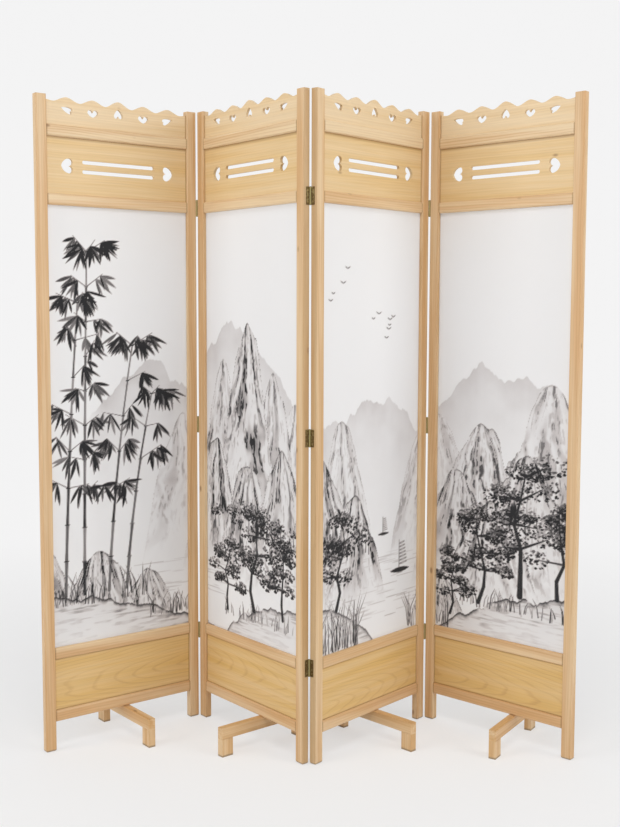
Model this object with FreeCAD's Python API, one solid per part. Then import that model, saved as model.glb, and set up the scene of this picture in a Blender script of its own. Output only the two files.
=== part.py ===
"""Folding screen of four framed panels, hinged in a zigzag and steadied by swivelling feet.

Each panel is a pine frame: two stiles, four rails, a scalloped crest board, a pierced fret board,
a plain base board and a stretched picture cloth. A foot is bolted under each bottom rail.
Butt hinges join the panels, in front at the valleys and behind at the ridge.

Millimetres and degrees. +Z is up, -Y is the front, and the origin is on the floor, mid-screen.
"""
import math
import os

import FreeCAD
import Part
from FreeCAD import Vector

os.makedirs("parts", exist_ok=True)

# Panel frame
panel_width = 500.0
stile_width = 30.0
stile_depth = 20.0
stile_edge_radius = 1.5
stile_top_radius = 1.2
stile_foot_radius = 5.0
rail_setback = 0.5
rail_edge_radius = 5.0
tenon_length = 14.0
tenon_thickness = 8.0
tenon_shoulder = 6.5

# Heights of the bays and rails, from the floor up
floor_gap = 82.0
bottom_rail_height = 32.0
base_board_height = 145.0
lower_rail_height = 32.0
picture_height = 1218.0
upper_rail_height = 31.0
fret_board_height = 152.0
crest_rail_height = 31.0
crest_height = 65.0
stile_rise = 12.0

# Boards and cloth, which sit in grooves
board_thickness = 8.0
cloth_thickness = 1.0
groove_depth = 5.0
groove_clearance = 0.1

# Hearts: how far a flank bulges and how high the notch lies, as shares of a lobe's radius
heart_fullness = 1.65
crest_heart_fullness = 1.45
heart_notch = 0.1

# Scalloped crest with a row of hearts
crest_shoulder = 22.5
scallop_side_count = 2
scallop_rise = 10.0
scallop_middle_rise = 14.0
scallop_dip = 3.0
crest_heart_width = 33.0
crest_heart_height = 20.0
crest_heart_drop = 26.0
middle_heart_width = 28.0
middle_heart_height = 25.0
middle_heart_drop = 19.0
end_heart_width = 17.0
end_heart_height = 33.0
end_heart_drop = 22.5
end_heart_angle = 72.0

# Pierced fret board
fret_heart_width = 40.0
fret_heart_height = 34.0
fret_heart_spacing = 318.0
slot_length = 226.0
slot_height = 10.5
slot_spacing = 26.0

# Butt hinges
fold_gap = 4.0
hinge_height = 47.0
hinge_lower_drop = 9.0
hinge_middle_drop = 6.0
leaf_width = 12.0
leaf_thickness = 1.5
knuckle_diameter = 5.0
pin_diameter = 2.5
pin_clearance = 0.05
pin_head_diameter = 3.8
pin_head_height = 0.8
hinge_proud = 1.1
knuckle_clearance = 0.4
knuckle_end_gap = 0.3
screw_diameter = 3.0
screw_head_diameter = 5.6
screw_length = 12.0
screw_spacing = 30.0
screw_inset = 5.0
screw_clearance = 0.05
cross_slot_width = 0.7
cross_slot_length = 3.0
cross_slot_depth = 0.8

# Swivelling feet
foot_length = 300.0
foot_width = 21.0
foot_bar_thickness = 32.0
foot_leg_depth = 37.0
foot_edge_radius = 1.5
foot_clearance = 0.3
foot_bolt_diameter = 6.0
foot_bolt_running_clearance = 0.05
foot_bolt_reach = 20.0
foot_bolt_head_diameter = 13.0
foot_bolt_head_height = 4.0
foot_counterbore_depth = 6.0
foot_counterbore_clearance = 0.5

# How the screen stands: each panel's turn about the vertical, and each foot's place and turn
panel_turns = (38.2, -51.3, 49.0, -42.9)
foot_offsets = (4.0, 56.0, 22.0, 58.0)
foot_turns = (0.0, 2.0, -5.0, 11.0)

# Sizes that follow from the ones above
inner_width = panel_width - 2 * stile_width
middle_x = panel_width / 2
middle_y = stile_depth / 2
bottom_rail_top = floor_gap + bottom_rail_height
lower_rail_bottom = bottom_rail_top + base_board_height
lower_rail_top = lower_rail_bottom + lower_rail_height
upper_rail_bottom = lower_rail_top + picture_height
upper_rail_top = upper_rail_bottom + upper_rail_height
crest_rail_bottom = upper_rail_top + fret_board_height
crest_rail_top = crest_rail_bottom + crest_rail_height
crest_end = crest_rail_top + crest_height
panel_height = crest_end + stile_rise
scallop_pitch = (inner_width - 2 * crest_shoulder) / (2 * scallop_side_count + 1)
hinge_top_level = (upper_rail_bottom + upper_rail_top) / 2
hinge_low_level = (lower_rail_bottom + lower_rail_top) / 2 - hinge_lower_drop
hinge_middle_level = (hinge_low_level + hinge_top_level) / 2 - hinge_middle_drop
hinge_levels = (hinge_low_level, hinge_middle_level, hinge_top_level)
foot_height = floor_gap - foot_clearance
foot_leg_height = foot_height - foot_bar_thickness

VERTICAL = Vector(0, 0, 1)
THROUGH = Vector(0, 1, 0)
TIP_UP, TIP_OUT, TIP_DOWN = 0, 90, 180


def box(x_range, y_range, z_range):
    """Box between pairs of limits along each axis."""
    size = [high - low for low, high in (x_range, y_range, z_range)]
    return Part.makeBox(*size, Vector(x_range[0], y_range[0], z_range[0]))


def grown(x_range, y_range, z_range, by):
    """Box larger than the given limits by the same amount on every side."""
    return box(*[(low - by, high + by) for low, high in (x_range, y_range, z_range)])


def edges_along(shape, direction):
    """Straight edges of a shape that run along a direction."""
    found = []
    for edge in shape.Edges:
        ends = [vertex.Point for vertex in edge.Vertexes]
        if len(ends) == 2 and (ends[1] - ends[0]).normalize().cross(direction).Length < 1e-6:
            found.append(edge)
    return found


def prism(edges, depth_range):
    """Solid made by carrying a closed outline in the panel's plane through a range of depth."""
    outline = Part.Wire(Part.__sortEdges__(edges))
    outline.translate(Vector(0, depth_range[0], 0))
    return Part.Face(outline).extrude(THROUGH * (depth_range[1] - depth_range[0]))


def heart(centre_x, centre_z, width, height, fullness, lean, depth_range):
    """Heart-shaped prism whose tip is turned by an angle from straight up, towards +X."""
    lobe = width / 4
    tip = height - lobe
    up = Vector(math.sin(math.radians(lean)), 0, math.cos(math.radians(lean)))
    across = Vector(up.z, 0, -up.x)
    base = Vector(centre_x, 0, centre_z) + up * ((lobe - tip) / 2)

    def at(sideways, towards_tip):
        return base + across * sideways + up * towards_tip

    edges = []
    for side in (-1, 1):
        lobe_arc = Part.Arc(at(0, -lobe * heart_notch), at(side * lobe, -lobe), at(side * 2 * lobe, 0))
        flank_arc = Part.Arc(at(side * 2 * lobe, 0), at(side * lobe * fullness, tip / 2), at(0, tip))
        edges += [lobe_arc.toShape(), flank_arc.toShape()]
    return prism(edges, depth_range)


def long_slot(centre_x, centre_z, length, height, depth_range):
    """Slot with half-round ends."""
    radius = height / 2
    reach = length / 2 - radius
    left, right = centre_x - reach, centre_x + reach
    low, high = centre_z - radius, centre_z + radius
    edges = [
        Part.LineSegment(Vector(left, 0, high), Vector(right, 0, high)).toShape(),
        Part.LineSegment(Vector(left, 0, low), Vector(right, 0, low)).toShape(),
    ]
    for x, side in ((left, -1), (right, 1)):
        end = Part.Arc(Vector(x, 0, low), Vector(x + side * radius, 0, centre_z), Vector(x, 0, high))
        edges.append(end.toShape())
    return prism(edges, depth_range)


# Boards and cloth: the limits of each, groove to groove, in the panel's own frame

board_x = (stile_width - groove_depth, panel_width - stile_width + groove_depth)
board_y = (middle_y - board_thickness / 2, middle_y + board_thickness / 2)
cloth_y = (middle_y - cloth_thickness / 2, middle_y + cloth_thickness / 2)
board_limits = {
    "base_board": (board_x, board_y, (bottom_rail_top - groove_depth, lower_rail_bottom + groove_depth)),
    "picture": (board_x, cloth_y, (lower_rail_top - groove_depth, upper_rail_bottom + groove_depth)),
    "fret_board": (board_x, board_y, (upper_rail_top - groove_depth, crest_rail_bottom + groove_depth)),
    "crest_board": (board_x, board_y, (crest_rail_top - groove_depth, crest_end)),
}
rail_limits = {
    "bottom_rail": (floor_gap, bottom_rail_top),
    "lower_rail": (lower_rail_bottom, lower_rail_top),
    "upper_rail": (upper_rail_bottom, upper_rail_top),
    "crest_rail": (crest_rail_bottom, crest_rail_top),
}


def with_grooves(piece):
    """A frame piece with the grooves of every board that enters it."""
    return piece.cut([grown(*limits, groove_clearance) for limits in board_limits.values()])


def tenon_limits(name):
    """Limits of the tongue that runs through a rail into both stiles."""
    low, high = rail_limits[name]
    x_range = (stile_width - tenon_length, panel_width - stile_width + tenon_length)
    y_range = (middle_y - tenon_thickness / 2, middle_y + tenon_thickness / 2)
    return x_range, y_range, (low + tenon_shoulder, high - tenon_shoulder)


def make_rail(name):
    """Rail with rounded long edges, a tenon at each end and grooves for its boards."""
    x_range = (stile_width, panel_width - stile_width)
    y_range = (rail_setback, stile_depth - rail_setback)
    body = box(x_range, y_range, rail_limits[name])
    body = body.makeFillet(rail_edge_radius, edges_along(body, Vector(1, 0, 0)))
    return with_grooves(body.fuse(box(*tenon_limits(name))).removeSplitter())


def make_stile(x_low):
    """Stile with eased edges, mortises for the rails and grooves for the boards."""
    body = box((x_low, x_low + stile_width), (0, stile_depth), (0, panel_height))
    foot_edges = [edge for edge in body.Edges if edge.BoundBox.ZMax < stile_foot_radius]
    body = body.makeFillet(stile_foot_radius, foot_edges)
    body = body.makeFillet(stile_edge_radius, edges_along(body, VERTICAL))
    top_edges = [edge for edge in body.Edges if edge.BoundBox.ZMin > panel_height - stile_top_radius]
    body = body.makeFillet(stile_top_radius, top_edges)
    mortises = [grown(*tenon_limits(name), groove_clearance) for name in rail_limits]
    return with_grooves(body.cut(mortises))


def make_fret_board():
    """Board pierced by two long slots between a pair of hearts that point outwards."""
    board = box(*board_limits["fret_board"])
    centre_z = (upper_rail_top + crest_rail_bottom) / 2
    cuts = []
    for side in (-1, 1):
        heart_x = middle_x + side * fret_heart_spacing / 2
        slot_z = centre_z + side * slot_spacing / 2
        size = (fret_heart_width, fret_heart_height, heart_fullness)
        cuts.append(heart(heart_x, centre_z, *size, side * TIP_OUT, board_y))
        cuts.append(long_slot(middle_x, slot_z, slot_length, slot_height, board_y))
    return board.cut(cuts)


def make_crest_board():
    """Board with a waved top edge and a heart in each wave: tip up, tip down, and outwards at the ends."""
    x_range, y_range, (low, end) = board_limits["crest_board"]
    dip = end - scallop_dip
    waves = range(-scallop_side_count, scallop_side_count + 1)
    top_points = [Vector(x_range[0], 0, end), Vector(stile_width, 0, end)]
    for wave in waves:
        x = middle_x + wave * scallop_pitch
        rise = scallop_rise if wave else scallop_middle_rise
        top_points += [Vector(x - scallop_pitch / 2, 0, dip), Vector(x, 0, end + rise)]
    top_points.append(Vector(middle_x + (scallop_side_count + 0.5) * scallop_pitch, 0, dip))
    top_points += [Vector(panel_width - stile_width, 0, end), Vector(x_range[1], 0, end)]
    waved_edge = Part.BSplineCurve()
    waved_edge.interpolate(top_points)
    corners = [top_points[0], Vector(x_range[0], 0, low), Vector(x_range[1], 0, low), top_points[-1]]
    edges = [waved_edge.toShape()]
    edges += [Part.LineSegment(a, b).toShape() for a, b in zip(corners, corners[1:])]
    board = prism(edges, y_range)
    cuts = []
    for wave in waves:
        size, drop = (crest_heart_width, crest_heart_height, crest_heart_fullness), crest_heart_drop
        lean = TIP_DOWN
        if wave == 0:
            size, drop = (middle_heart_width, middle_heart_height, crest_heart_fullness), middle_heart_drop
            lean = TIP_UP
        if abs(wave) == scallop_side_count:
            size, drop = (end_heart_width, end_heart_height, heart_fullness), end_heart_drop
            lean = math.copysign(end_heart_angle, wave)
        cuts.append(heart(middle_x + wave * scallop_pitch, end - drop, *size, lean, y_range))
    return board.cut(cuts)


# Hinges: one butt hinge at each level of a fold, its leaves on the stiles' edges

knuckle_radius = knuckle_diameter / 2
pin_radius = pin_diameter / 2
knuckle_length = hinge_height / 3


def knuckle_spans(level, outer):
    """Heights of one leaf's knuckles: the two outer ones, or the one between them."""
    low = level - hinge_height / 2
    if outer:
        return [(low, low + knuckle_length), (low + 2 * knuckle_length, low + hinge_height)]
    return [(low + knuckle_length + knuckle_end_gap, low + 2 * knuckle_length - knuckle_end_gap)]


def upright(radius, x, y, low, high):
    """Vertical cylinder."""
    return Part.makeCylinder(radius, high - low, Vector(x, y, low))


def fold_axis(end, face):
    """Plan position of a fold's axis in the frame of a panel that it joins."""
    x = panel_width + fold_gap / 2 if end == "right" else -fold_gap / 2
    y = -hinge_proud if face == "front" else stile_depth + hinge_proud
    return Vector(x, y, 0)


def leaf_frame(end, face):
    """Outward direction at a panel's end, the stile's edge there, and the inward direction of depth."""
    outward = 1 if end == "right" else -1
    edge_x = panel_width if end == "right" else 0
    inward = 1 if face == "front" else -1
    face_y = 0 if face == "front" else stile_depth
    return outward, edge_x, inward, face_y


def screw_places(end, face):
    """Heads of the screws of a panel's leaves, each with the direction that the screw is driven in."""
    outward, edge_x, inward, face_y = leaf_frame(end, face)
    y = face_y + inward * (leaf_width - screw_inset)
    head_x = edge_x + outward * leaf_thickness
    return [(Vector(head_x, y, level + side * screw_spacing / 2), Vector(-outward, 0, 0))
            for level in hinge_levels for side in (-1, 1)]


def make_screw(head, inward, grow):
    """Countersunk screw, its head flush with the leaf, grown on all sides when it cuts a hole."""
    radius = screw_diameter / 2 + grow
    head_radius = screw_head_diameter / 2 + grow
    cone = Part.makeCone(head_radius, radius, leaf_thickness, head, inward)
    shank = Part.makeCylinder(radius, screw_length + grow, head + inward * leaf_thickness, inward)
    return cone.fuse(shank).removeSplitter()


def with_cross_slot(screw, head):
    """Screw with a cross cut into its head."""
    sunk = (head.x - cross_slot_depth, head.x + cross_slot_depth)
    sizes = (cross_slot_length / 2, cross_slot_width / 2)
    bars = []
    for half_y, half_z in (sizes, sizes[::-1]):
        bars.append(box(sunk, (head.y - half_y, head.y + half_y), (head.z - half_z, head.z + half_z)))
    return screw.cut(bars)


def make_leaves(end, face):
    """The leaves on one end of a panel: the right end carries the outer knuckles."""
    outward, edge_x, inward, face_y = leaf_frame(end, face)
    axis = fold_axis(end, face)
    holes = [make_screw(head, drive, screw_clearance) for head, drive in screw_places(end, face)]
    leaves = []
    for level in hinge_levels:
        low = level - hinge_height / 2
        x_limits = sorted((edge_x, edge_x + outward * leaf_thickness))
        y_limits = sorted((axis.y, face_y + inward * leaf_width))
        leaf = box(x_limits, y_limits, (low, low + hinge_height))
        for span in knuckle_spans(level, end != "right"):
            room = (span[0] - knuckle_end_gap, span[1] + knuckle_end_gap)
            leaf = leaf.cut(upright(knuckle_radius + knuckle_clearance, axis.x, axis.y, *room))
        own_spans = knuckle_spans(level, end == "right")
        leaf = leaf.fuse([upright(knuckle_radius, axis.x, axis.y, *span) for span in own_spans])
        bore = upright(pin_radius + pin_clearance, axis.x, axis.y, low, low + hinge_height)
        leaves.append(leaf.cut([bore] + holes).removeSplitter())
    return leaves


def make_pins(face):
    """Headed pins of one fold, in the frame of the panel on its left."""
    axis = fold_axis("right", face)
    pins = []
    for level in hinge_levels:
        low, high = level - hinge_height / 2, level + hinge_height / 2
        shank = upright(pin_radius, axis.x, axis.y, low, high)
        heads = [upright(pin_head_diameter / 2, axis.x, axis.y, low - pin_head_height, low),
                 upright(pin_head_diameter / 2, axis.x, axis.y, high, high + pin_head_height)]
        pins.append(shank.fuse(heads).removeSplitter())
    return pins


# Feet: a bar on two legs, turning on a bolt that is driven up into the bottom rail

bolt_radius = foot_bolt_diameter / 2
bolt_seat = foot_leg_height + foot_counterbore_depth


def make_foot(centre, turn):
    """Bar and two legs, turned about the bolt."""
    across = (centre.x - foot_width / 2, centre.x + foot_width / 2)
    ends = (centre.y - foot_length / 2, centre.y + foot_length / 2)
    bar = box(across, ends, (foot_leg_height, foot_height))
    bar = bar.makeFillet(foot_edge_radius, edges_along(bar, VERTICAL) + edges_along(bar, THROUGH))
    counterbore = foot_bolt_head_diameter / 2 + foot_counterbore_clearance
    bar = bar.cut([
        upright(bolt_radius + foot_bolt_running_clearance, centre.x, centre.y, 0, foot_height),
        upright(counterbore, centre.x, centre.y, 0, bolt_seat),
    ])
    pieces = [bar]
    for y_range in ((ends[0], ends[0] + foot_leg_depth), (ends[1] - foot_leg_depth, ends[1])):
        leg = box(across, y_range, (0, foot_leg_height))
        pieces.append(leg.makeFillet(foot_edge_radius, edges_along(leg, VERTICAL)))
    foot = Part.makeCompound(pieces)
    foot.rotate(centre, VERTICAL, turn)
    return foot


def make_foot_bolt(centre):
    """Bolt with a flat head in the bar's counterbore and its shank in the rail."""
    head_top = bolt_seat - foot_clearance
    head_bottom = head_top - foot_bolt_head_height
    head = upright(foot_bolt_head_diameter / 2, centre.x, centre.y, head_bottom, head_top)
    shank = upright(bolt_radius, centre.x, centre.y, head_top, floor_gap + foot_bolt_reach)
    return head.fuse(shank).removeSplitter()


# Panels, each made in its own frame: X along it, Y from its front face to its back

fold_faces = ("front", "back", "front")
fold_count = len(fold_faces)
foot_centres = [Vector(middle_x + offset, middle_y, 0) for offset in foot_offsets]
panel_nodes = []

for index, foot_centre in enumerate(foot_centres):
    hinged = []
    if index > 0:
        hinged.append(("left", fold_faces[index - 1]))
    if index < fold_count:
        hinged.append(("right", fold_faces[index]))
    leaves = []
    screws = []
    screw_holes = []
    for end, face in hinged:
        leaves += make_leaves(end, face)
        for head, drive in screw_places(end, face):
            screws.append(with_cross_slot(make_screw(head, drive, 0), head))
            screw_holes.append(make_screw(head, drive, screw_clearance))
    bolt_hole = upright(bolt_radius, foot_centre.x, foot_centre.y, 0, floor_gap + foot_bolt_reach)
    pieces = {
        "stile_left": make_stile(0).cut(screw_holes),
        "stile_right": make_stile(panel_width - stile_width).cut(screw_holes),
        "bottom_rail": make_rail("bottom_rail").cut(bolt_hole),
        "base_board": box(*board_limits["base_board"]),
        "lower_rail": make_rail("lower_rail"),
        "picture": box(*board_limits["picture"]),
        "upper_rail": make_rail("upper_rail"),
        "fret_board": make_fret_board(),
        "crest_rail": make_rail("crest_rail"),
        "crest_board": make_crest_board(),
        "hinge_leaves": Part.makeCompound(leaves),
        "hinge_screws": Part.makeCompound(screws),
        "foot_bolt": make_foot_bolt(foot_centre),
        "foot": make_foot(foot_centre, foot_turns[index]),
    }
    if index < fold_count:
        pieces["hinge_pins"] = Part.makeCompound(make_pins(fold_faces[index]))
    panel_nodes.append(pieces)

# The zigzag: each panel is set against the one on its left at their common fold axis


def turned(point, degrees):
    """Point turned about the vertical through the frame's origin."""
    return FreeCAD.Rotation(VERTICAL, degrees).multVec(point)


corners = [Vector(0, 0, 0)]
fold_axes = []
for index, face in enumerate(fold_faces):
    axis = corners[index] + turned(fold_axis("right", face), panel_turns[index])
    fold_axes.append(axis)
    corners.append(axis - turned(fold_axis("left", face), panel_turns[index + 1]))

for pieces, corner, turn in zip(panel_nodes, corners, panel_turns):
    placement = FreeCAD.Placement(corner, FreeCAD.Rotation(VERTICAL, turn))
    for shape in pieces.values():
        shape.Placement = placement.multiply(shape.Placement)

outermost = [pieces[name] for pieces in panel_nodes for name in ("stile_left", "stile_right", "foot")]
reach = Part.makeCompound(outermost).optimalBoundingBox(False, False)
to_origin = Vector(-reach.Center.x, -reach.Center.y, 0)

nodes = {}
for index, pieces in enumerate(panel_nodes):
    number = index + 1
    for name, shape in pieces.items():
        shape.translate(to_origin)
        place_name = f"{number}{number + 1}" if name == "hinge_pins" else f"{number}"
        nodes[f"{name}_{place_name}"] = shape

for name, shape in nodes.items():
    shape.exportStep(f"parts/{name}.step")

for index, axis in enumerate(fold_axes):
    place = axis + to_origin
    print(f"fold {index + 1}{index + 2} axis {place.x:.4f} {place.y:.4f}")
for index, corner in enumerate(corners):
    place = corner + turned(foot_centres[index], panel_turns[index]) + to_origin
    print(f"foot {index + 1} axis {place.x:.4f} {place.y:.4f}")
    stile_centre = Vector(stile_width / 2, middle_y, 0)
    stile_foot = corner + turned(stile_centre, panel_turns[index]) + to_origin
    print(f"left stile {index + 1} foot {stile_foot.x:.4f} {stile_foot.y:.4f}")
print(f"nodes {len(nodes)}, height {panel_height}, valid {all(shape.isValid() for shape in nodes.values())}")
print(f"plan {reach.XLength:.2f} by {reach.YLength:.2f}")
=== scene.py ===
import math
import random

import bpy
import numpy as np
from mathutils import Matrix, Vector


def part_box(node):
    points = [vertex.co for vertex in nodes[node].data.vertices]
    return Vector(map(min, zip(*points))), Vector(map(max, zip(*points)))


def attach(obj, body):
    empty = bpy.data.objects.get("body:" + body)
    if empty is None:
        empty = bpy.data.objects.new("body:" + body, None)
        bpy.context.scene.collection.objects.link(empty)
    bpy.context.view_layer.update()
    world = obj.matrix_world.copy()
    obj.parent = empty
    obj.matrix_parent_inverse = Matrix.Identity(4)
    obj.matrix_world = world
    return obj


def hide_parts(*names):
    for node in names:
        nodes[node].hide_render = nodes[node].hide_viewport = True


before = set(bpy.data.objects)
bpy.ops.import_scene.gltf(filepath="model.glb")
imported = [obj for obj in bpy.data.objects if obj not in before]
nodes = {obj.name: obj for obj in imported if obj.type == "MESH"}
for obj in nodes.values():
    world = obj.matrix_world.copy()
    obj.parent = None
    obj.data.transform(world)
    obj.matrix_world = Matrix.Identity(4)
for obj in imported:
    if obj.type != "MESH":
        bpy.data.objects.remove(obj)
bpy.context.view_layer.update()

bpy.context.scene.view_settings.view_transform = "Standard"


# Stiles
# Two full-height pine posts to a panel, planed square with eased edges and mortised for the rails.
# Straight-grained softwood under a clear satin lacquer, with a small knot here and there.

panel_numbers = (1, 2, 3, 4)
panel_turns = {1: 38.2, 2: -51.3, 3: 49.0, 4: -42.9}
pine_pale = (0.845, 0.655, 0.415)
pine_rosy = (0.690, 0.420, 0.200)
pine_ring = (0.560, 0.310, 0.115)
knot_brown = (0.260, 0.125, 0.050)
knot_share = 0.70
# dark joint lines where boards and rails meet the stiles and grooves, with painted shade in those recesses
seam_and_shade_brown = (0.300, 0.150, 0.040)
seam_and_shade_share = 0.80
seam_and_shade_width = 0.0045
# painted shade on the stiles' hinge-side edges, which the next panel shades
edge_shade_brown = (0.430, 0.270, 0.115)
edge_shade_share = 0.55
shaded_edge = (0.0016, 0.0004)
# painted shade along ends that stand on the floor: contact shadow and the shade of a rounded-over end
contact_shade_brown = (0.300, 0.215, 0.125)
contact_shade_share = 0.85
contact_shade_reach = (0.0030, 0.0065)
lacquer_roughness = (0.40, 0.58)
lacquer_coat = 0.12
coat_roughness = 0.35
ring_spacing = 0.0075
clear_half_width = 0.220
groove_depth = 0.005
stile_half_width = 0.015
stile_rings = 0.44
stile_bands = 0.38
stile_tint = 0.64
free_stile_tint = 0.78


def node_adder(tree):
    """A function that adds a node to a tree, with its settings, and its inputs as values or as links."""

    def add(kind, settings=None, inputs=None):
        node = tree.nodes.new(kind)
        for key, value in (settings or {}).items():
            setattr(node, key, value)
        for key, value in (inputs or {}).items():
            if isinstance(value, bpy.types.NodeSocket):
                tree.links.new(value, node.inputs[key])
            else:
                node.inputs[key].default_value = value
        return node

    return add


def new_material(name):
    """Node material with its shader, a function that adds nodes and one that feeds the shader."""
    material = bpy.data.materials.new(name)
    material.use_nodes = True
    tree = material.node_tree
    shader = tree.nodes["Principled BSDF"]

    def feed(socket_name, value):
        tree.links.new(value, shader.inputs[socket_name])

    return material, shader, node_adder(tree), feed


def set_ramp(ramp, stops, interpolation="LINEAR"):
    """Colour stops of a ramp node, as (position, colour)."""
    ramp.color_ramp.interpolation = interpolation
    elements = ramp.color_ramp.elements
    while len(elements) < len(stops):
        elements.new(0.5)
    for element, (position, colour) in zip(elements, stops):
        element.position = position
        element.color = (*colour, 1.0)


def mixed(add, share, under, over):
    """Colour that goes from one to the other with a share. The first is a link or a plain colour."""
    first = under if isinstance(under, bpy.types.NodeSocket) else (*under, 1)
    return add("ShaderNodeMix", {"data_type": "RGBA"}, {
        "Factor": share, "A": first, "B": (*over, 1)}).outputs[2]


def scattered(add, along, scale, draw):
    """Fibre coordinates at a scale, from a start of their own."""
    return add("ShaderNodeMapping", inputs={
        "Vector": along, "Scale": scale,
        "Location": [draw.uniform(0, 9) for axis in range(3)]}).outputs["Vector"]


def growth_rings(add, along, cut, draw):
    """Dark late wood of a log that lies a little askew to the piece and isn't quite round.

    A flat cut shows the rings as arches, and a rift cut as nearly straight lines.
    """
    if cut == "flat":
        pith = (0.0, draw.uniform(-0.03, 0.03), draw.uniform(0.035, 0.060))
        askew = draw.choice((-1, 1)) * draw.uniform(4.0, 7.0)
        early_end = 0.68
    else:
        pith = (0.0, draw.choice((-1, 1)) * draw.uniform(0.06, 0.10), draw.uniform(-0.01, 0.01))
        askew = draw.uniform(-1.0, 1.0)
        early_end = 0.45
    swell = scattered(add, along, (2.6, 16, 16), draw)
    wander = add("ShaderNodeTexNoise", inputs={"Vector": swell, "Scale": 1.0, "Detail": 2.0})
    uneven = add("ShaderNodeVectorMath", {"operation": "MULTIPLY_ADD"}, {
        0: wander.outputs["Color"], 1: (0.0, 0.022, 0.022), 2: along})
    log = add("ShaderNodeMapping", inputs={
        "Vector": uneven.outputs["Vector"], "Location": pith,
        "Rotation": (0.0, math.radians(askew), math.radians(draw.uniform(-1.5, 1.5)))})
    rings = add("ShaderNodeTexWave", {
        "wave_type": "RINGS", "rings_direction": "X", "wave_profile": "SAW"}, {
        "Vector": log.outputs["Vector"], "Scale": math.pi / 10 / ring_spacing})
    late_wood = add("ShaderNodeValToRGB", inputs={"Fac": rings.outputs["Fac"]})
    levels = ((0.0, 0.2), (early_end, 0.0), (0.90, 1.0), (1.0, 0.25))
    set_ramp(late_wood, [(position, (level,) * 3) for position, level in levels], "EASE")
    return late_wood.outputs["Color"]


def banded_wood(add, along, late_wood, rings_seen, bands_seen, warm, tint, draw):
    """Broad bands of paler and warmer wood, where the rings come and go."""
    broad = scattered(add, along, (1.8, 45, 45), draw)
    bands = add("ShaderNodeTexNoise", inputs={"Vector": broad, "Scale": 1.0, "Detail": 3.0})

    def by_band(low, high):
        return add("ShaderNodeMapRange", inputs={
            "Value": bands.outputs["Fac"], "From Min": 0.35, "From Max": 0.65,
            "To Min": low, "To Max": high}).outputs["Result"]

    ring_share = add("ShaderNodeMath", {"operation": "MULTIPLY"}, {
        0: late_wood, 1: by_band(0.25 * rings_seen, 1.25 * rings_seen)})
    ground = mixed(add, by_band(tint - bands_seen, tint + bands_seen), pine_pale, warm)
    return mixed(add, ring_share.outputs["Value"], ground, pine_ring)


def with_knots(add, wood, along, draw):
    """Wood that has a rare round knot with a soft rim."""
    spread = scattered(add, along, (6, 12, 12), draw)
    eyes = add("ShaderNodeTexVoronoi", inputs={"Vector": spread, "Scale": 1.0})
    eye = add("ShaderNodeMapRange", {"interpolation_type": "SMOOTHSTEP"}, {
        "Value": eyes.outputs["Distance"], "From Min": 0.02, "From Max": 0.08,
        "To Min": knot_share, "To Max": 0.0})
    return mixed(add, eye.outputs["Result"], wood, knot_brown)


def with_seams_and_painted_shade(add, wood, axes, half_height, seam_and_shade_widths):
    """Wood darkened where it meets the stiles and along its edges in a groove: dark joint lines and painted
    shade in the recess, and with a wide seam a painted shadow under a rail.
    """
    from_middle = add("ShaderNodeMath", {"operation": "ABSOLUTE"}, {0: axes["X"]})
    nearest = add("ShaderNodeMath", {"operation": "SUBTRACT"}, {
        0: clear_half_width, 1: from_middle.outputs["Value"]}).outputs["Value"]
    for sign, width in zip((1, -1), seam_and_shade_widths):
        if width is not None:
            share = seam_and_shade_width / width
            gap = add("ShaderNodeMath", {"operation": "MULTIPLY_ADD"}, {
                0: axes["Z"], 1: sign * share, 2: (half_height - groove_depth) * share})
            nearest = add("ShaderNodeMath", {"operation": "MINIMUM"}, {
                0: nearest, 1: gap.outputs["Value"]}).outputs["Value"]
    seam = add("ShaderNodeMapRange", inputs={
        "Value": nearest, "From Min": 0.0, "From Max": seam_and_shade_width, "To Min": seam_and_shade_share, "To Max": 0.0})
    return mixed(add, seam.outputs["Result"], wood, seam_and_shade_brown)


def with_shaded_edge(add, wood, axes, hinge_side):
    """Wood of a stile whose hinge side, -1 for left and 1 for right, is sawn and darker: painted shade
    where the next panel shades that edge.
    """
    outwards = add("ShaderNodeMath", {"operation": "MULTIPLY"}, {0: axes["X"], 1: hinge_side})
    edge = add("ShaderNodeMapRange", inputs={
        "Value": outwards.outputs["Value"], "From Min": stile_half_width - shaded_edge[0],
        "From Max": stile_half_width - shaded_edge[1], "To Min": 0.0, "To Max": edge_shade_share})
    return mixed(add, edge.outputs["Result"], wood, edge_shade_brown)


def with_shaded_end(add, wood, axes, floor_drop):
    """Wood with painted shade along its end on the floor, which lies so far below the middle of the piece:
    the contact shadow and the shade of an end that is cut square here, not rounded over.
    """
    height = add("ShaderNodeMath", {"operation": "ADD"}, {0: axes["Z"], 1: floor_drop})
    contact_shade = add("ShaderNodeMapRange", inputs={
        "Value": height.outputs["Value"], "From Min": contact_shade_reach[0], "From Max": contact_shade_reach[1],
        "To Min": contact_shade_share, "To Max": 0.0})
    return mixed(add, contact_shade.outputs["Result"], wood, contact_shade_brown)


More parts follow.
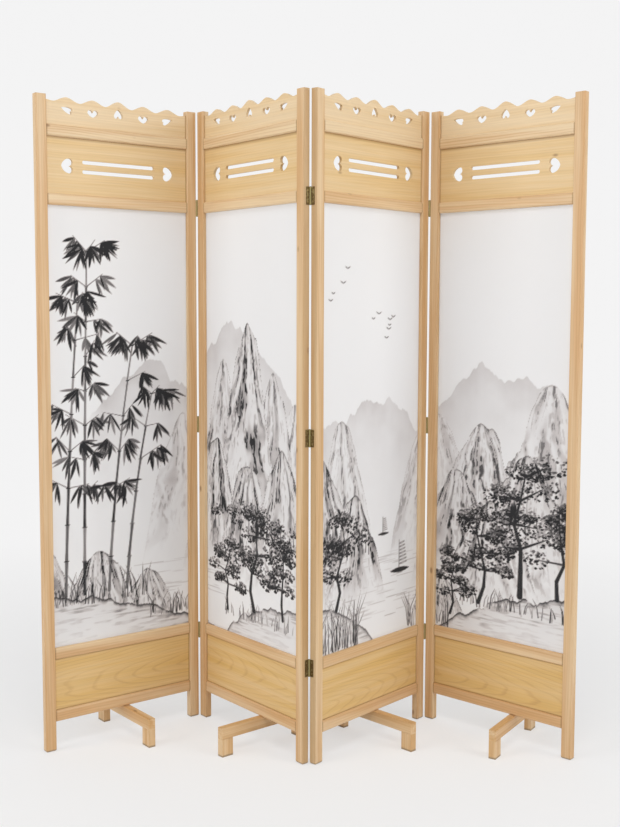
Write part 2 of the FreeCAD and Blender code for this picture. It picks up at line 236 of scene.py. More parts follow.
def pine(node_name, turn, grain, cut, rings_seen, bands_seen, warm, tint, seed,
         seam_and_shade_widths=None, hinge_side=None, legs_below=None):
    """Lacquered pine. Turn is the piece's angle in plan, and grain the local axis that its fibres follow.

    The seam and shade widths give the widths of the dark seams, with painted shade, at the low and the high
    edge of a piece between the stiles.
    Below the top of its legs, where it has them, the fibres are upright.
    """
    draw = random.Random(seed)
    material, shader, add, feed = new_material(f"{node_name}_pine")
    square = Matrix.Rotation(math.radians(-turn), 3, "Z")
    low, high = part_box(node_name)
    centre = (low + high) / 2
    local = add("ShaderNodeMapping", inputs={
        "Vector": add("ShaderNodeTexCoord").outputs["Object"], "Rotation": square.to_euler(),
        "Location": -(square @ centre)})
    axes = add("ShaderNodeSeparateXYZ", inputs={"Vector": local.outputs["Vector"]}).outputs

    def fibre_space(order):
        sockets = {place: axes[axis] for place, axis in zip("XYZ", order)}
        return add("ShaderNodeCombineXYZ", inputs=sockets).outputs["Vector"]

    along = fibre_space({"X": "XZY", "Y": "YZX", "Z": "ZXY"}[grain])
    if legs_below is not None:
        is_bar = add("ShaderNodeMath", {"operation": "GREATER_THAN"}, {
            0: axes["Z"], 1: legs_below - centre.z})
        along = add("ShaderNodeMix", {"data_type": "VECTOR"}, {
            "Factor": is_bar.outputs["Value"], 4: fibre_space("ZXY"), 5: along}).outputs[1]

    late_wood = growth_rings(add, along, cut, draw)
    wood = banded_wood(add, along, late_wood, rings_seen, bands_seen, warm, tint, draw)
    fine = add("ShaderNodeMapping", inputs={"Vector": along, "Scale": (5, 420, 420)})
    fibres = add("ShaderNodeTexNoise", inputs={
        "Vector": fine.outputs["Vector"], "Scale": 1.0, "Detail": 3.0}).outputs["Fac"]
    streak = add("ShaderNodeMapRange", inputs={
        "Value": fibres, "From Min": 0.3, "From Max": 0.75, "To Min": 1.04, "To Max": 0.93})
    wood = add("ShaderNodeVectorMath", {"operation": "SCALE"}, {
        0: wood, "Scale": streak.outputs["Result"]}).outputs["Vector"]
    if cut == "rift":
        wood = with_knots(add, wood, along, draw)
    if seam_and_shade_widths is not None:
        wood = with_seams_and_painted_shade(add, wood, axes, (high.z - low.z) / 2, seam_and_shade_widths)
    if hinge_side is not None:
        # painted shade along the hinge-side edge
        wood = with_shaded_edge(add, wood, axes, hinge_side)
    # painted shade along the end on the floor
    if low.z < contact_shade_reach[0]:
        wood = with_shaded_end(add, wood, axes, centre.z)
    feed("Base Color", wood)

    gloss = add("ShaderNodeMapRange", inputs={
        "Value": fibres, "To Min": lacquer_roughness[0], "To Max": lacquer_roughness[1]})
    feed("Roughness", gloss.outputs["Result"])
    relief = add("ShaderNodeBump", inputs={"Height": fibres, "Strength": 0.10, "Distance": 0.0006})
    feed("Normal", relief.outputs["Normal"])
    shader.inputs["Coat Weight"].default_value = lacquer_coat
    shader.inputs["Coat Roughness"].default_value = coat_roughness
    return material


def dress(node_name, material):
    """Gives a node of the frame its finish."""
    slots = nodes[node_name].material_slots
    for slot in slots:
        slot.material = material
    if not slots:
        nodes[node_name].data.materials.append(material)


for number in panel_numbers:
    for side, outwards, free_end, seed in (("left", -1, 1, 10), ("right", 1, 4, 30)):
        stile = f"stile_{side}_{number}"
        is_free = number == free_end
        dress(stile, pine(stile, panel_turns[number], "Z", "rift", stile_rings, stile_bands, pine_rosy,
                          free_stile_tint if is_free else stile_tint, seed=seed + number,
                          hinge_side=None if is_free else outwards))


# Rails
# Four pine rails to a panel, tenoned between the stiles, with their long edges rounded over.
# The grain runs along the panel.

# Rails are paler the higher they sit: partly the wood's tone, partly painted light from above.
rail_tints = {"bottom_rail": 0.75, "lower_rail": 0.65, "upper_rail": 0.42, "crest_rail": 0.10}
rail_rings = 0.40
rail_bands = 0.34
for number in panel_numbers:
    for place, rail in enumerate(rail_tints):
        rail_node = f"{rail}_{number}"
        dress(rail_node, pine(rail_node, panel_turns[number], "X", "rift", rail_rings, rail_bands,
                              pine_rosy, rail_tints[rail], seed=50 + 10 * place + number,
                              seam_and_shade_widths=(None, None)))


# Boards
# Thin pine boards held loose in the grooves: a plain base board, a fret board sawn through with slots
# and hearts, and a crest board with a waved top. The flat-sawn base boards show arched growth rings.

# painted shadow under the crest rail, along the top edge of the fret board
shadow_width = 0.0090
pine_gold = (0.720, 0.440, 0.105)
board_bands = 0.15
# saw cut, strength of the rings, tint, and the widths of the dark seams with painted shade at the low and
# the high edge
# Boards are paler the higher they sit: partly the wood's tone, partly painted light from above.
boards = {
    "base_board": ("flat", 0.40, 0.62, (seam_and_shade_width, seam_and_shade_width)),
    "fret_board": ("rift", 0.16, 0.37, (None, shadow_width)),
    "crest_board": ("rift", 0.14, 0.08, (None, None)),
}
for number in panel_numbers:
    for place, (board, (cut, rings_seen, tint, seam_and_shade_widths)) in enumerate(boards.items()):
        board_node = f"{board}_{number}"
        dress(board_node, pine(board_node, panel_turns[number], "X", cut, rings_seen, board_bands,
                               pine_gold, tint, seed=100 + 10 * place + number, seam_and_shade_widths=seam_and_shade_widths))


# Picture cloths
# One length of thin white cloth to a panel, printed with an ink-wash landscape that runs on from panel
# to panel. It is stretched flat, and its edges are held in the grooves of the stiles and rails.

cloth_width = 0.450
cloth_step = 0.0025
panel_pitch = 506.0
frame_side = 30.0
cloth_white = (0.880, 0.877, 0.882)
ink_wash = (0.600, 0.565, 0.560)
ink_grey = (0.240, 0.225, 0.225)
ink_black = (0.020, 0.020, 0.022)
ink_speckle = 0.55
cloth_roughness = 0.78
cloth_sheen = 0.05
cloth_gloss = 0.25


def smooth(low, high, value):
    """Smooth step from 0 at low to 1 at high."""
    t = np.clip((value - low) / (high - low), 0.0, 1.0)
    return t * t * (3.0 - 2.0 * t)


def lattice_noise(x, z, seed, octaves=3):
    """Smooth noise from 0 to 1, finer at each octave."""
    total = np.zeros(np.broadcast(x, z).shape)
    weight = 0.0
    for octave in range(octaves):
        size = 97
        values = np.random.default_rng(seed * 31 + octave).random((size, size))
        fx, fz = x * 2.0 ** octave + 0.37 * octave, z * 2.0 ** octave + 0.71 * octave
        ix, iz = np.floor(fx).astype(int), np.floor(fz).astype(int)
        tx, tz = smooth(0.0, 1.0, fx - ix), smooth(0.0, 1.0, fz - iz)
        ix, iz, next_x, next_z = ix % size, iz % size, (ix + 1) % size, (iz + 1) % size
        low = values[ix, iz] * (1 - tx) + values[next_x, iz] * tx
        high = values[ix, next_z] * (1 - tx) + values[next_x, next_z] * tx
        total += (low * (1 - tz) + high * tz) * 0.5 ** octave
        weight += 0.5 ** octave
    return total / weight


class InkSheet:
    """One panel's painting: ink from 0 to 1 on a grid of millimetres across the whole landscape."""

    def __init__(self, left, width, height, step):
        self.x = left + np.arange(0.0, width + step / 2, step)
        self.z = np.arange(0.0, height + step / 2, step)
        self.step = step
        self.ink = np.zeros((len(self.z), len(self.x)))

    def window(self, x_low, x_high, z_low, z_high):
        """Grid slices that cover a rectangle, or None where it lies off this panel."""
        columns = np.searchsorted(self.x, (x_low, x_high))
        rows = np.searchsorted(self.z, (z_low, z_high))
        if columns[0] == columns[1] or rows[0] == rows[1]:
            return None
        return slice(*rows), slice(*columns)

    def brush(self, start, end, widths, dark):
        """One tapered stroke from start to end, with half-widths at its start, middle and end."""
        reach = max(widths) + 2.0
        (x0, z0), (x1, z1) = start, end
        area = self.window(min(x0, x1) - reach, max(x0, x1) + reach,
                           min(z0, z1) - reach, max(z0, z1) + reach)
        if area is None:
            return
        x, z = np.meshgrid(self.x[area[1]], self.z[area[0]])
        dx, dz = x1 - x0, z1 - z0
        length = max(dx * dx + dz * dz, 1e-6)
        t = np.clip(((x - x0) * dx + (z - z0) * dz) / length, 0.0, 1.0)
        away = np.hypot(x - x0 - t * dx, z - z0 - t * dz)
        width = (widths[0] * (1 - t) * (1 - 2 * t) + widths[1] * 4 * t * (1 - t)
                 + widths[2] * t * (2 * t - 1))
        soft = 0.6 * self.step
        mark = dark * smooth(soft, -soft, away - np.maximum(width, 0.0))
        self.ink[area] = np.maximum(self.ink[area], mark)

    def hill(self, middle, top, half_width, height, tone, seed, light=1.0):
        """A hill in front of what is painted so far. Its spurs fan out, and its foot sinks into mist."""
        area = self.window(middle - 1.7 * half_width, middle + 1.7 * half_width,
                           top - 1.1 * height, top + 60)
        if area is None:
            return
        x, z = np.meshgrid(self.x[area[1]], self.z[area[0]])
        off = np.abs(x - middle) / half_width
        crags = (lattice_noise(x / 46, 0 * z, seed, 4) - 0.5) * 0.26 * height * smooth(0.0, 0.4, off)
        depth = top - 0.8 * height * off ** 1.6 + crags - z
        inside = smooth(-1.5, 1.5, depth)
        depth = np.maximum(depth, 0.0)
        mist = smooth(top - 1.15 * height, top - 0.50 * height, z)

        warp = lattice_noise(x / 75, z / 75, seed + 1) - 0.5
        fan = (x - middle) / (0.30 * half_width + 0.75 * np.maximum(top - z, 0.0))
        spur = lattice_noise(fan * 4.5 + 1.6 * warp, z / 260, seed + 2, 2)
        spur_lit = lattice_noise(fan * 4.5 + 1.6 * warp + 0.22 * light, z / 260, seed + 2, 2)
        shade = smooth(-0.05, 0.13, spur_lit - spur)
        strokes = smooth(0.50, 0.64, lattice_noise(fan * 30 + 3.5 * warp, z / 42 + 2 * warp, seed + 3, 2))
        dry = smooth(0.30, 0.62, lattice_noise(x / 9, z / 14, seed + 4, 2))
        wet = lattice_noise(x / 26, z / 26, seed + 5, 2)
        cap = np.exp(-depth / (0.10 * height)) * (0.30 + 1.05 * wet)
        outline = np.exp(-depth / (2.0 + 4.0 * wet)) * smooth(0.25, 0.5, dry + 0.4 * wet)
        moss = smooth(0.60, 0.72, lattice_noise(x / 7, z / 6, seed + 6, 2))
        moss = moss * np.exp(-depth / (0.12 * height)) * shade
        body = 0.10 + 0.42 * shade * (0.5 + wet) + 0.85 * strokes * dry * (0.30 + 0.70 * shade)
        darkest = np.maximum.reduce([body, cap * (0.30 + 0.70 * shade), outline, moss])
        mark = tone * mist * np.clip(darkest, 0, 1)
        cover = inside * smooth(0.0, 0.5, mist)
        self.ink[area] = self.ink[area] * (1 - cover) + inside * mark

    def far_range(self, points, tone, fade_depth, seed):
        """A pale range seen through mist: only a wash below its skyline."""
        xs, zs = zip(*points)
        skyline = np.interp(self.x, xs, zs) + (lattice_noise(self.x / 42, 0 * self.x, seed, 4) - 0.5) * 70
        depth = skyline[None, :] - self.z[:, None]
        ends = smooth(xs[0], xs[0] + 80, self.x) * smooth(xs[-1], xs[-1] - 80, self.x)
        wet = lattice_noise(self.x[None, :] / 70, self.z[:, None] / 70, seed + 1)
        mark = tone * smooth(-2, 3, depth) * np.exp(-np.maximum(depth, 0) / fade_depth) * (0.45 + 0.9 * wet)
        self.ink = np.maximum(self.ink * (1 - 0.5 * smooth(-2, 3, depth) * ends), mark * ends)

    def bank(self, points, tone, seed):
        """Low near ground: a broken dark edge over a pale slope."""
        xs, zs = zip(*points)
        skyline = np.interp(self.x, xs, zs) + (lattice_noise(self.x / 30, 0 * self.x, seed, 4) - 0.5) * 34
        x, z = self.x[None, :], self.z[:, None]
        depth = skyline[None, :] - z
        wet = lattice_noise(x / 26, z / 13, seed + 1)
        level = lattice_noise(x / 48, z / 5.5, seed + 2, 2)
        inside = smooth(-1.5, 1.5, depth)
        depth = np.maximum(depth, 0.0)
        edge = np.exp(-depth / (4 + 9 * wet)) * smooth(0.3, 0.6, wet + 0.2)
        wash = (0.16 + 0.6 * smooth(0.5, 0.7, level) * wet) * np.exp(-depth / 80)
        self.ink = self.ink * (1 - inside) + inside * tone * np.clip(np.maximum(edge, wash), 0, 1)


def paint_spray(sheet, x, z, side, draw):
    """A bamboo twig and its fans of hanging leaves."""
    tip_x = x + side * draw.uniform(28, 70)
    tip_z = z + draw.uniform(6, 46)
    sheet.brush((x, z), (tip_x, tip_z), (1.3, 1.0, 0.7), 0.8)
    for fan in range(draw.randint(2, 4)):
        t = draw.uniform(0.45, 1.0)
        base = (x + t * (tip_x - x), z + t * (tip_z - z))
        heading = draw.uniform(-115, -65) + side * 26
        for leaf in range(draw.randint(3, 5)):
            angle = math.radians(heading + draw.uniform(-46, 46))
            length = draw.uniform(34, 66)
            end = (base[0] + length * math.cos(angle), base[1] + length * math.sin(angle))
            sheet.brush(base, end, (0.6, draw.uniform(3.0, 5.2), 0.2), draw.uniform(0.55, 1.0))


def paint_bamboo(sheet, root_x, root_z, height, lean, seed):
    """A bamboo cane with hollow joints, side twigs and leaves."""
    draw = random.Random(seed)
    joint_count = int(height / 92)
    x, z = root_x, root_z
    for joint in range(joint_count):
        next_x = x + lean * (0.6 + 0.9 * joint / joint_count)
        next_z = z + height / joint_count
        thick = 5.4 - 3.0 * joint / joint_count
        waisted = (thick, thick * 0.82, thick)
        sheet.brush((x, z + 3), (next_x, next_z - 3), waisted, draw.uniform(0.50, 0.85))
        sheet.brush((next_x - thick - 1, next_z), (next_x + thick + 1, next_z), (1.4, 1.0, 1.4), 0.95)
        if joint > 1:
            for side in draw.sample((-1, 1), draw.choice((1, 2))):
                paint_spray(sheet, next_x, next_z, side, draw)
        x, z = next_x, next_z
    for side in (-1, 1, 0.4):
        paint_spray(sheet, x, z, side, draw)


def paint_foliage(sheet, x, z, spread, count, draw):
    """A cloud of leaf dabs, darker below."""
    for dab in range(count):
        angle = draw.uniform(0, 2 * math.pi)
        away = spread * math.sqrt(draw.random())
        dab_x, dab_z = x + 1.35 * away * math.cos(angle), z + 0.8 * away * math.sin(angle)
        size = draw.uniform(2.6, 5.6)
        dark = np.clip(0.72 - 0.30 * (dab_z - z) / spread + draw.uniform(-0.25, 0.25), 0.3, 1.0)
        tilt = draw.uniform(-2.5, 2.5)
        ends = (dab_x - size, dab_z - tilt), (dab_x + size, dab_z + tilt)
        sheet.brush(*ends, (0.5, size * 0.7, 0.5), dark)


def paint_tree(sheet, root_x, root_z, height, seed):
    """A leaning broadleaf tree with a crown of layered clouds."""
    draw = random.Random(seed)
    points = [(root_x, root_z)]
    for piece in range(5):
        x, z = points[-1]
        points.append((x + draw.uniform(-0.07, 0.09) * height, z + height / 5.6))
    for place, (low, high) in enumerate(zip(points, points[1:])):
        thick = height * 0.026 * (1 - place / 6.5)
        sheet.brush(low, high, (thick, thick * 0.85, thick * 0.8), 0.85)
    for place, (x, z) in enumerate(points[2:]):
        for branch in range(4):
            reach = height * draw.uniform(0.04, 0.30) * (1.15 - 0.16 * place)
            tip = (x + draw.choice((-1, 1)) * reach, z + height * draw.uniform(-0.03, 0.12))
            sheet.brush((x, z), tip, (height * 0.011, height * 0.008, 0.9), 0.85)
            paint_foliage(sheet, *tip, height * draw.uniform(0.07, 0.12), int(0.22 * height), draw)


def paint_grove(sheet, x_low, x_high, root_z, height, count, seed):
    """A line of small distant trees on a slope."""
    draw = random.Random(seed)
    for tree in range(count):
        x, z = draw.uniform(x_low, x_high), root_z + draw.uniform(-12, 12)
        tall = height * draw.uniform(0.6, 1.0)
        sheet.brush((x, z), (x + draw.uniform(-4, 4), z + tall), (1.8, 1.4, 0.8), 0.8)
        paint_foliage(sheet, x, z + 0.85 * tall, 0.32 * tall, int(0.5 * tall), draw)


def paint_reeds(sheet, x_low, x_high, root_z, height, count, seed):
    """A stand of reeds or tall grass at a water's edge."""
    draw = random.Random(seed)
    for reed in range(count):
        x = draw.uniform(x_low, x_high)
        tall = height * draw.uniform(0.35, 1.0)
        sway = tall * draw.uniform(-0.45, 0.45)
        bend = (x + 0.3 * sway, root_z + 0.6 * tall)
        dark = draw.uniform(0.35, 0.95)
        sheet.brush((x, root_z + draw.uniform(-8, 8)), bend, (1.9, 1.7, 1.4), dark)
        sheet.brush(bend, (x + sway, root_z + tall), (1.4, 1.1, 0.3), dark)


def paint_water(sheet, x_low, x_high, z_low, z_high, count, seed):
    """Short level strokes of still water."""
    draw = random.Random(seed)
    for ripple in range(count):
        x, z = draw.uniform(x_low, x_high), draw.uniform(z_low, z_high)
        half = draw.uniform(12, 55)
        dark = draw.uniform(0.12, 0.38)
        end = (x + half, z + draw.uniform(-1, 1))
        sheet.brush((x - half, z), end, (0.3, draw.uniform(0.8, 1.8), 0.3), dark)


def paint_boat(sheet, x, z, scale):
    """A small flat boat under a square sail."""
    deck = z + 7 * scale
    sheet.brush((x - 44 * scale, deck), (x + 44 * scale, deck), (1.0, 7.5 * scale, 1.0), 0.9)
    mast = x - 4 * scale
    sheet.brush((mast, z + 8 * scale), (mast, z + 96 * scale), (1.3, 1.2, 1.0), 0.9)
    for slat in range(7):
        level = z + (24 + 10 * slat) * scale
        end = (x + (34 - 2.2 * slat) * scale, level + 4 * scale)
        sheet.brush((x - 2 * scale, level), end, (3.4 * scale, 3.6 * scale, 2.6 * scale), 0.40)
        sheet.brush((x - 6 * scale, level), end, (0.9, 0.8, 0.7), 0.75)


def paint_birds(sheet, x, z, count, seed):
    """Birds far off, each two short wing strokes."""
    draw = random.Random(seed)
    for bird in range(count):
        bird_x, bird_z = x + draw.uniform(-90, 90), z + draw.uniform(-45, 45)
        span = draw.uniform(8, 13)
        for side in (-1, 1):
            wing_tip = (bird_x + side * span, bird_z + 0.48 * span)
            sheet.brush((bird_x, bird_z), wing_tip, (1.0, 1.5, 0.2), 0.75)


def paint_landscape(sheet):
    """The whole landscape, from the far sky to the near bank; each panel keeps only its own part."""
    left_range = ((120, 620), (330, 800), (470, 720), (640, 930), (820, 800), (1010, 640))
    right_range = ((900, 560), (1120, 640), (1300, 700), (1480, 610), (1700, 780), (2040, 700))
    sheet.far_range(left_range, 0.22, 170, 11)
    sheet.far_range(right_range, 0.22, 150, 12)
    hills = (
        (455, 640, 120, 400, 0.45, 21, 1.0), (960, 690, 130, 420, 0.55, 22, -1.0),
        (620, 800, 120, 520, 0.70, 23, 1.0), (860, 770, 110, 470, 0.75, 24, -1.0),
        (740, 905, 140, 640, 0.90, 25, 1.0), (590, 570, 110, 360, 0.95, 26, -1.0),
        (900, 560, 125, 360, 0.90, 27, 1.0), (740, 500, 140, 330, 1.00, 28, 1.0),
        (1130, 640, 130, 430, 0.60, 38, -1.0), (1050, 540, 130, 400, 0.85, 39, 1.0),
        (1190, 430, 120, 300, 1.00, 40, 1.0), (1540, 640, 170, 420, 0.45, 31, 1.0),
        (1930, 740, 190, 560, 0.60, 32, -1.0), (1700, 620, 160, 440, 0.75, 37, 1.0),
        (1620, 480, 140, 320, 0.85, 33, 1.0), (1860, 540, 170, 400, 0.90, 34, -1.0),
        (1740, 400, 150, 280, 0.95, 35, 1.0))
    for hill in hills:
        sheet.hill(*hill)
    groves = ((560, 960, 300, 66, 16, 45), (1590, 1980, 330, 60, 14, 46), (1050, 1260, 262, 62, 11, 47))
    for grove in groves:
        paint_grove(sheet, *grove)
    paint_water(sheet, 980, 1620, 60, 250, 110, 41)
    paint_water(sheet, 330, 640, 110, 210, 30, 42)
    paint_boat(sheet, 1400, 180, 1.0)
    paint_boat(sheet, 1320, 300, 0.55)
    paint_birds(sheet, 1350, 900, 7, 43)
    paint_birds(sheet, 1150, 1010, 4, 44)
    near_rocks = (
        (-10, 330, 110, 260, 1.0, 54, 1.0), (330, 190, 90, 150, 0.9, 55, 1.0),
        (175, 260, 120, 220, 1.0, 56, -1.0), (1560, 170, 90, 150, 1.0, 57, -1.0))
    for rock in near_rocks:
        sheet.hill(*rock)
    left_bank = ((-20, 150), (180, 120), (330, 80), (520, 20), (700, -60), (2100, -60))
    right_bank = ((-20, -60), (1480, -60), (1640, 60), (1800, 120), (2040, 160))
    middle_bank = ((-20, -60), (560, -60), (700, 60), (860, 110), (1080, 130), (1240, 40), (1330, -60),
                   (2100, -60))
    sheet.bank(left_bank, 1.0, 51)
    sheet.bank(right_bank, 1.0, 52)
    sheet.bank(middle_bank, 0.9, 53)
    canes = ((70, 820, 6, 61), (128, 960, 2, 62), (205, 700, 12, 63), (262, 560, 15, 64))
    for root_x, height, lean, seed in canes:
        paint_bamboo(sheet, root_x, 140, height, lean, seed)
    trees = ((640, 70, 210, 71), (770, 90, 300, 72), (905, 90, 230, 73), (1110, 120, 260, 78),
             (1700, 100, 270, 74), (1840, 140, 380, 75), (1960, 150, 280, 76), (1600, 50, 190, 77))
    for tree in trees:
        paint_tree(sheet, *tree)
    reeds = ((40, 330, 120, 90, 50, 81), (330, 470, 50, 70, 26, 82), (1030, 1210, 10, 150, 60, 83),
             (1440, 1600, 10, 110, 40, 84), (1620, 2000, 90, 60, 46, 85), (600, 1000, 60, 50, 40, 86))
    for stand in reeds:
        paint_reeds(sheet, *stand)


def printed_cloth():
    """Thin white cloth whose ink density is painted on the sheet."""
    material, shader, add, feed = new_material("printed_cloth")
    place = add("ShaderNodeTexCoord").outputs["Object"]
    ink = add("ShaderNodeAttribute", {"attribute_name": "ink"}).outputs["Fac"]
    grain = add("ShaderNodeTexNoise", inputs={"Vector": place, "Scale": 700.0, "Detail": 2.0})
    centred = add("ShaderNodeMath", {"operation": "SUBTRACT"}, {0: grain.outputs["Fac"], 1: 0.5})
    half_tone = add("ShaderNodeMath", {"operation": "MULTIPLY"}, {0: ink, 1: ink_speckle})
    speckle = add("ShaderNodeMath", {"operation": "MULTIPLY_ADD"}, {
        0: centred.outputs["Value"], 1: half_tone.outputs["Value"], 2: ink})
    ramp = add("ShaderNodeValToRGB", inputs={"Fac": speckle.outputs["Value"]})
    set_ramp(ramp, [(0.0, cloth_white), (0.28, ink_wash), (0.56, ink_grey), (0.84, ink_black)])
    feed("Base Color", ramp.outputs["Color"])
    weave = add("ShaderNodeTexNoise", inputs={"Vector": place, "Scale": 1500.0, "Detail": 1.0})
    relief = add("ShaderNodeBump", inputs={
        "Height": weave.outputs["Fac"], "Strength": 0.08, "Distance": 0.0004})
    feed("Normal", relief.outputs["Normal"])
    shader.inputs["Roughness"].default_value = cloth_roughness
    shader.inputs["Sheen Weight"].default_value = cloth_sheen
    shader.inputs["Specular IOR Level"].default_value = cloth_gloss
    return material


cloth_material = printed_cloth()
for number in panel_numbers:
    low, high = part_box(f"picture_{number}")
    cloth_length = high.z - low.z
    columns = round(cloth_width / cloth_step)
    rows = round(cloth_length / cloth_step)
    bpy.ops.object.select_all(action="DESELECT")
    bpy.ops.mesh.primitive_grid_add(x_subdivisions=columns, y_subdivisions=rows, size=1.0)
    cloth = bpy.context.object
    cloth.name = f"picture_cloth_{number}"
    angle = math.radians(panel_turns[number])
    stand = Matrix.Rotation(angle, 4, "Z") @ Matrix.Rotation(math.pi / 2, 4, "X")
    flat_size = Matrix.Diagonal((cloth_width, cloth_length, 1.0, 1.0))
    cloth.data.transform(Matrix.Translation((low + high) / 2) @ stand @ flat_size)

    cloth_left = (number - 1) * panel_pitch + frame_side - 1000 * groove_depth
    sheet = InkSheet(cloth_left, 1000 * cloth_width, 1000 * cloth_length, 1000 * cloth_step)
    paint_landscape(sheet)
    points = np.empty(len(cloth.data.vertices) * 3)
    cloth.data.vertices.foreach_get("co", points)
    points = points.reshape(-1, 3) - np.array((low + high) / 2)
    across = points[:, 0] * math.cos(angle) + points[:, 1] * math.sin(angle) + cloth_width / 2
    column = np.clip(np.rint(across / cloth_step).astype(int), 0, len(sheet.x) - 1)
    upwards = points[:, 2] + cloth_length / 2
    row = np.clip(np.rint(upwards / cloth_step).astype(int), 0, len(sheet.z) - 1)
    ink = cloth.data.attributes.new("ink", "FLOAT", "POINT")
    ink.data.foreach_set("value", sheet.ink[row, column].astype(np.float32))

    cloth.data.materials.append(cloth_material)
    bpy.ops.object.shade_smooth()
    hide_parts(f"picture_{number}")
    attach(cloth, f"panel_{number}")


# Hinges
# Three small butt hinges to a fold: stamped brass leaves, screwed to the stiles' edges, with rolled
# knuckles and a headed pin. The brass is darkened to an antique finish and rubbed brighter in places,
# and the knuckles carry a painted highlight in place of their reflection.

# painted highlight on the hinge knuckles, in place of their reflection
knuckle_highlight_reach = (0.0026, 0.0029)
knuckle_highlight_share = 0.8


def plated(name, colour, rubbed_and_highlight, roughness, metal, axes=()):
    """Worn plating, with brighter rubbed patches and, around upright axes, knuckles brightened by a painted
    highlight.
    """
    material, shader, add, feed = new_material(name)
    place = add("ShaderNodeTexCoord").outputs["Object"]
    patches = add("ShaderNodeTexNoise", inputs={"Vector": place, "Scale": 160.0, "Detail": 4.0})
    amount = add("ShaderNodeMapRange", inputs={
        "Value": patches.outputs["Fac"], "From Min": 0.50, "From Max": 1.0}).outputs["Result"]
    for axis in axes:
        in_plan = add("ShaderNodeVectorMath", {"operation": "MULTIPLY"}, {0: place, 1: (1, 1, 0)})
        away = add("ShaderNodeVectorMath", {"operation": "DISTANCE"}, {
            0: in_plan.outputs["Vector"], 1: (axis.x, axis.y, 0)})
        knuckle_highlight = add("ShaderNodeMapRange", inputs={
            "Value": away.outputs["Value"], "From Min": knuckle_highlight_reach[0], "From Max": knuckle_highlight_reach[1],
            "To Min": knuckle_highlight_share, "To Max": 0.0})
        amount = add("ShaderNodeMath", {"operation": "MAXIMUM"}, {
            0: amount, 1: knuckle_highlight.outputs["Result"]}).outputs["Value"]
    feed("Base Color", mixed(add, amount, colour, rubbed_and_highlight))
    gloss = add("ShaderNodeMapRange", inputs={
        "Value": patches.outputs["Fac"], "To Min": roughness + 0.12, "To Max": roughness - 0.08})
    feed("Roughness", gloss.outputs["Result"])
    relief = add("ShaderNodeBump", inputs={
        "Height": patches.outputs["Fac"], "Strength": 0.15, "Distance": 0.0003})
    feed("Normal", relief.outputs["Normal"])
    shader.inputs["Metallic"].default_value = metal
    return material


folds = ("12", "23", "34")
brass_dark = (0.115, 0.068, 0.018)
brass_rubbed_and_highlight = (0.460, 0.390, 0.170)
screw_dark = (0.210, 0.140, 0.050)
screw_brass = plated("screw_brass", screw_dark, brass_rubbed_and_highlight, roughness=0.40, metal=0.8)
for number in panel_numbers:
    fold_boxes = [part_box(f"hinge_pins_{fold}") for fold in folds if str(number) in fold]
    fold_axes = [(low + high) / 2 for low, high in fold_boxes]
    leaf_brass = plated(f"hinge_brass_{number}", brass_dark, brass_rubbed_and_highlight, roughness=0.48, metal=0.6,
                        axes=fold_axes)
    dress(f"hinge_leaves_{number}", leaf_brass)
    dress(f"hinge_screws_{number}", screw_brass)
for fold in folds:
    dress(f"hinge_pins_{fold}", screw_brass)


# Feet
# A pine bar glued on two legs, under each bottom rail. It turns on one zinc-plated bolt, so that it
# can be swung in line with the panel. The bar's grain is level and the legs' upright.

foot_turns = {1: 0.0, 2: 2.0, 3: -5.0, 4: 11.0}
foot_leg_height = 0.0497
foot_rings = 0.40
foot_bands = 0.30
foot_tint = 0.65
pine_amber = (0.640, 0.375, 0.150)
zinc_grey = (0.520, 0.525, 0.530)
zinc_pale = (0.700, 0.700, 0.690)

zinc = plated("zinc_plate", zinc_grey, zinc_pale, roughness=0.35, metal=1.0)
for number in panel_numbers:
    turn = panel_turns[number] + foot_turns[number]
    foot = f"foot_{number}"
    dress(foot, pine(foot, turn, "Y", "rift", foot_rings, foot_bands, pine_amber, foot_tint,
                     seed=150 + number, legs_below=foot_leg_height))
    dress(f"foot_bolt_{number}", zinc)


# Backdrop
# Pale seamless paper that sweeps from the floor up into the wall behind the screen. It is white away
# from the screen, keeps the screen's shadow near it, and is open when it is seen from the back.

floor_pale = (0.955, 0.955, 0.955)
paper_unevenness = 0.985
paper_roughness = 0.9
backdrop_white = (0.935, 0.933, 0.935)
floor_white = 0.50
wall_white = 0.90
shadow_reach = 0.6
white_reach = 3.2
floor_half_width = 9.0
floor_front = -6.0
sweep_start = 3.0
sweep_radius = 1.6
wall_height = 7.0
sweep_steps = 16


def seen_directly(add):
    """1 for the camera, a reflection or a view through glass, and 0 for the light that falls on things."""
    paths = add("ShaderNodeLightPath").outputs
    seen = paths["Is Camera Ray"]
    for path_name in ("Is Glossy Ray", "Is Transmission Ray"):
        seen = add("ShaderNodeMath", {"operation": "MAXIMUM"}, {
            0: seen, 1: paths[path_name]}).outputs["Value"]
    return seen


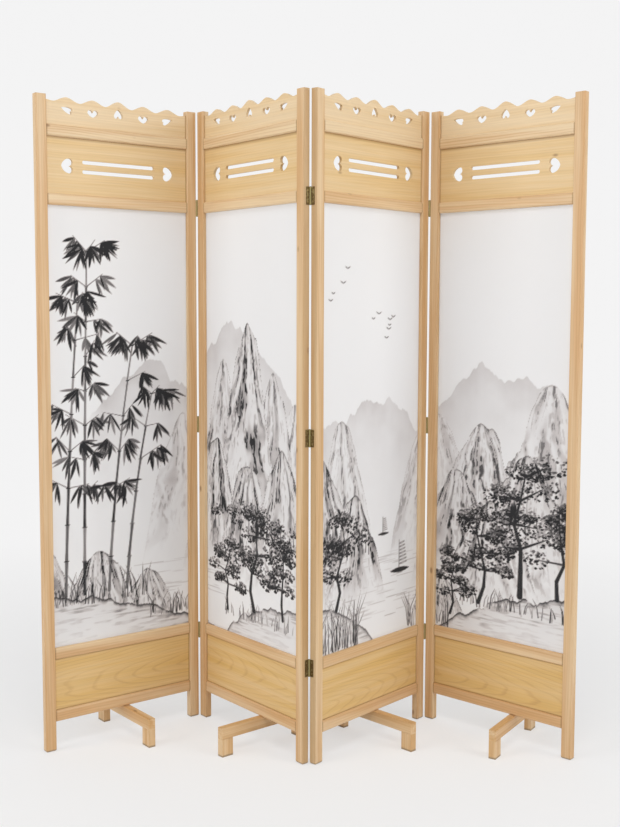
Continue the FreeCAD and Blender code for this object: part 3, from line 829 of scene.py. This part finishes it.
def backdrop_paper():
    """Pale paper that shows white by a share that grows away from the screen."""
    material, shader, add, feed = new_material("backdrop_paper")
    place = add("ShaderNodeTexCoord").outputs["Object"]
    mottle = add("ShaderNodeTexNoise", inputs={"Vector": place, "Scale": 0.8, "Detail": 1.0})
    shaded = [paper_unevenness * channel for channel in floor_pale]
    feed("Base Color", mixed(add, mottle.outputs["Fac"], floor_pale, shaded))
    shader.inputs["Roughness"].default_value = paper_roughness
    in_plan = add("ShaderNodeVectorMath", {"operation": "MULTIPLY"}, {0: place, 1: (1, 1, 0)})
    away = add("ShaderNodeVectorMath", {"operation": "LENGTH"}, {0: in_plan.outputs["Vector"]})
    white = add("ShaderNodeMapRange", inputs={
        "Value": away.outputs["Value"], "From Min": shadow_reach, "From Max": white_reach,
        "To Min": floor_white, "To Max": wall_white})
    share = add("ShaderNodeMath", {"operation": "MULTIPLY"}, {
        0: seen_directly(add), 1: white.outputs["Result"]})
    plain_white = add("ShaderNodeEmission", inputs={"Color": (*backdrop_white, 1), "Strength": 1.0})
    front = add("ShaderNodeMixShader", inputs={
        0: share.outputs["Value"], 1: shader.outputs["BSDF"], 2: plain_white.outputs["Emission"]})
    both_sides = add("ShaderNodeMixShader", inputs={
        0: add("ShaderNodeNewGeometry").outputs["Backfacing"], 1: front.outputs["Shader"],
        2: add("ShaderNodeBsdfTransparent").outputs["BSDF"]})
    tree = material.node_tree
    tree.links.new(both_sides.outputs["Shader"], tree.nodes["Material Output"].inputs["Surface"])
    return material


bpy.ops.object.select_all(action="DESELECT")
bpy.ops.mesh.primitive_plane_add(size=1.0)
backdrop = bpy.context.object
backdrop.name = "backdrop"
profile = [(floor_front, 0.0), (sweep_start, 0.0)]
for step in range(1, sweep_steps + 1):
    angle = math.pi / 2 * step / sweep_steps
    profile.append((sweep_start + sweep_radius * math.sin(angle), sweep_radius * (1 - math.cos(angle))))
profile.append((sweep_start + sweep_radius, wall_height))
corners = [(side * floor_half_width, y, z) for y, z in profile for side in (-1, 1)]
strips = [(2 * i, 2 * i + 1, 2 * i + 3, 2 * i + 2) for i in range(len(profile) - 1)]
backdrop.data.clear_geometry()
backdrop.data.from_pydata(corners, [], strips)
bpy.ops.object.shade_smooth()
backdrop.data.materials.append(backdrop_paper())


# Light and camera
# Soft boxes on both sides and above, even light from all round, and a camera at eye height in front
# of the screen that looks slightly down.

world_light = 0.42
world_white = 0.93
# place and size in metres, and power in watts
soft_boxes = {
    "left_box": ((-3.9, -2.4, 2.1), 2.2, 58.0),
    "right_box": ((3.9, -2.4, 2.1), 2.2, 58.0),
    "top_box": ((0.0, -2.8, 4.3), 1.5, 47.0),
}
aim = Vector((0.0, 0.0, 1.0))

world = bpy.data.worlds.new("studio")
bpy.context.scene.world = world
world.use_nodes = True
world_add = node_adder(world.node_tree)
world_level = world_add("ShaderNodeMapRange", inputs={
    "Value": seen_directly(world_add), "To Min": world_light, "To Max": world_white})
background = world.node_tree.nodes["Background"]
background.inputs["Color"].default_value = (1.0, 1.0, 1.0, 1.0)
world.node_tree.links.new(world_level.outputs["Result"], background.inputs["Strength"])

for name, (place, size, power) in soft_boxes.items():
    lamp = bpy.data.lights.new(name, "AREA")
    lamp.shape = "SQUARE"
    lamp.size = size
    lamp.energy = power
    light = bpy.data.objects.new(name, lamp)
    light.location = place
    light.rotation_euler = (aim - Vector(place)).to_track_quat("-Z", "Y").to_euler()
    bpy.context.scene.collection.objects.link(light)

camera_place = Vector((0.0057, -3.2643, 1.2236))
camera_pitch = math.radians(4.990)
camera_roll = math.radians(0.150)
camera_data = bpy.data.cameras.new("camera")
camera_data.sensor_fit = "VERTICAL"
camera_data.sensor_height = 36.0
camera_data.lens = 50.733
camera = bpy.data.objects.new("camera", camera_data)
tilt = Matrix.Rotation(math.pi / 2 - camera_pitch, 4, "X") @ Matrix.Rotation(camera_roll, 4, "Z")
camera.matrix_world = Matrix.Translation(camera_place) @ tilt
bpy.context.scene.collection.objects.link(camera)
bpy.context.scene.camera = camera
